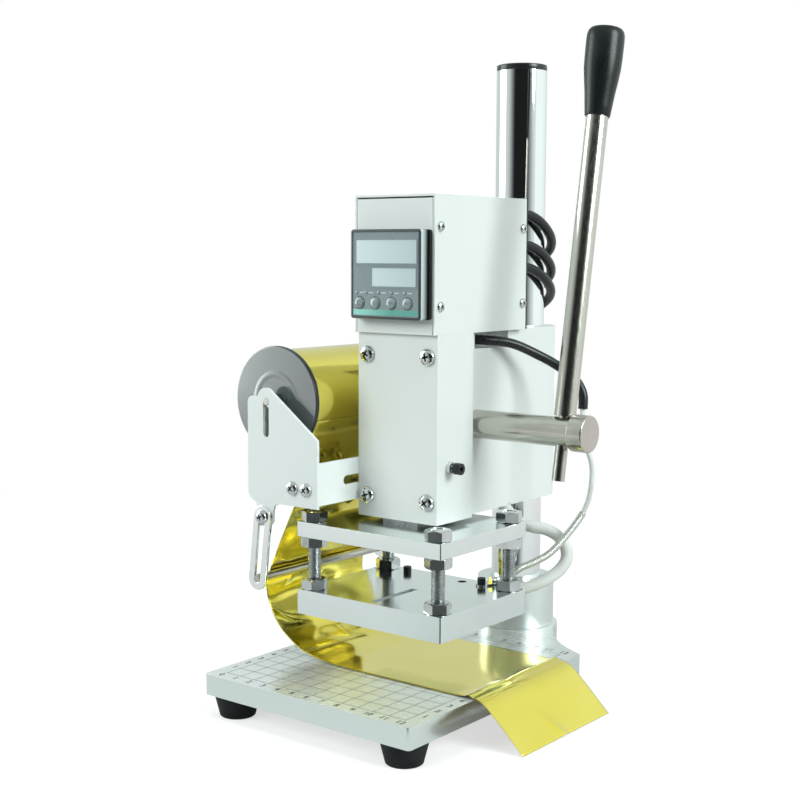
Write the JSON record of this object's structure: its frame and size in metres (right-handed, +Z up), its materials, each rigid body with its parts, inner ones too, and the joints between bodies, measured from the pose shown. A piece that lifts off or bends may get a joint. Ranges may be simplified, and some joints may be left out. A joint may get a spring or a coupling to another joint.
{
  "type": "hot foil stamping machine",
  "caption": "Manual hot foil stamping press: a lever drives a heated plate down from a head that slides on a column, with a foil roll beside it and a controller box on top.",
  "frame": {"origin": "middle of the work table's top face", "axes": "+X to the operator's right, towards the lever; +Y to the back, towards the column; +Z up"},
  "size_m": [0.1948, 0.2283, 0.3723],
  "materials": {
    "white_casting": "white paint",
    "white_paint": "cool white paint, satin",
    "plate_aluminium": "bright milled",
    "chrome": "hard chrome",
    "nickel": "nickel plated",
    "zinc_steel": "zinc plated",
    "tool_steel": "oiled",
    "black_steel": "blackened",
    "gib_brass": "plain",
    "black_plastic": "black, slight sheen",
    "black_rubber": "black",
    "controller_grey": "dark grey",
    "display": "grey display",
    "button_grey": "grey",
    "gold_foil": "mirror gold",
    "core_card": "card",
    "white_sleeve": "woven glass sleeve",
    "braid_steel": "woven wire"
  },
  "bodies": {
    "base": {"base_plate": "plate_aluminium", "rubber_feet": "black_rubber", "base_screws": "zinc_steel", "column_seat": "plate_aluminium", "column_tube": "chrome", "column_cap": "black_plastic", "foil_web": "gold_foil"},
    "head": {"head_body": "white_casting", "front_cover": "white_paint", "cover_screws": "zinc_steel", "gib_strip": "gib_brass", "gib_screws": "black_steel", "clamp_bolts": "zinc_steel", "box_chassis": "white_paint", "box_cover": "white_paint", "box_screws": "zinc_steel", "controller_case": "controller_grey", "controller_bezel": "controller_grey", "display_windows": "display", "mains_inlet": "black_plastic", "cable_glands": "black_plastic", "box_cables": "black_rubber", "sensor_cable": "black_rubber", "sensor_lead": "white_sleeve", "sensor_braid": "braid_steel", "heater_lead": "white_sleeve", "bracket_front": "white_paint", "bracket_rear": "white_paint", "bracket_cross": "white_paint", "bracket_screws": "zinc_steel", "guide_links": "nickel", "guide_rod": "nickel", "roll_spindle": "nickel", "spindle_nuts": "zinc_steel", "spring_pin": "zinc_steel", "return_spring": "tool_steel"},
    "lever": {"pinion_shaft": "nickel", "pinion": "tool_steel", "pinion_key": "tool_steel", "lever_rod": "nickel", "lever_grip": "black_plastic", "shaft_collar": "nickel", "shaft_clip": "tool_steel"},
    "ram": {"ram": "tool_steel", "ram_bolts": "tool_steel", "upper_plate": "plate_aluminium", "studs": "zinc_steel", "stud_nuts": "zinc_steel", "heater_plate": "plate_aluminium", "heater_cartridges": "tool_steel", "plate_screws": "black_steel", "heater_jumper": "white_sleeve", "sensor_lug": "zinc_steel"},
    "foil_roll": {"foil_roll": "gold_foil", "roll_core": "core_card", "roll_flanges": "black_plastic"},
    "button_1": {"button_1": "button_grey"},
    "button_2": {"button_2": "button_grey"},
    "button_3": {"button_3": "button_grey"},
    "button_4": {"button_4": "button_grey"}
  },
  "joints": [
    {"name": "head_height", "type": "slide", "parent": "base", "child": "head", "axis": [0, 0, 1], "range_m": [0, 0.08], "deforming": ["foil_web"]},
    {"name": "lever_pull", "type": "hinge", "parent": "head", "child": "lever", "pos_m": [0.079, 0.042, 0.132], "axis": [1, 0, 0], "range_deg": [0, 100], "deforming": ["heater_lead", "sensor_braid", "return_spring"]},
    {"name": "ram_press", "type": "slide", "parent": "head", "child": "ram", "axis": [0, 0, -1], "range_m": [0, 0.01833], "stiffness_N_per_m": 600, "springref_m": -0.06, "deforming": ["heater_lead", "sensor_braid", "return_spring"]},
    {"name": "roll_turn", "type": "hinge", "parent": "head", "child": "foil_roll", "pos_m": [-0.0645, 0.017, 0.145], "axis": [0, 1, 0], "continuous": true},
    {"name": "button_1_press", "type": "slide", "parent": "head", "child": "button_1", "axis": [0, 1, 0], "range_m": [0, 0.001], "stiffness_N_per_m": 300},
    {"name": "button_2_press", "type": "slide", "parent": "head", "child": "button_2", "axis": [0, 1, 0], "range_m": [0, 0.001], "stiffness_N_per_m": 300},
    {"name": "button_3_press", "type": "slide", "parent": "head", "child": "button_3", "axis": [0, 1, 0], "range_m": [0, 0.001], "stiffness_N_per_m": 300},
    {"name": "button_4_press", "type": "slide", "parent": "head", "child": "button_4", "axis": [0, 1, 0], "range_m": [0, 0.001], "stiffness_N_per_m": 300}
  ],
  "couplings": [
    {"joint": "ram_press", "follows": "lever_pull", "m_per_rad": 0.0105}
  ]
}
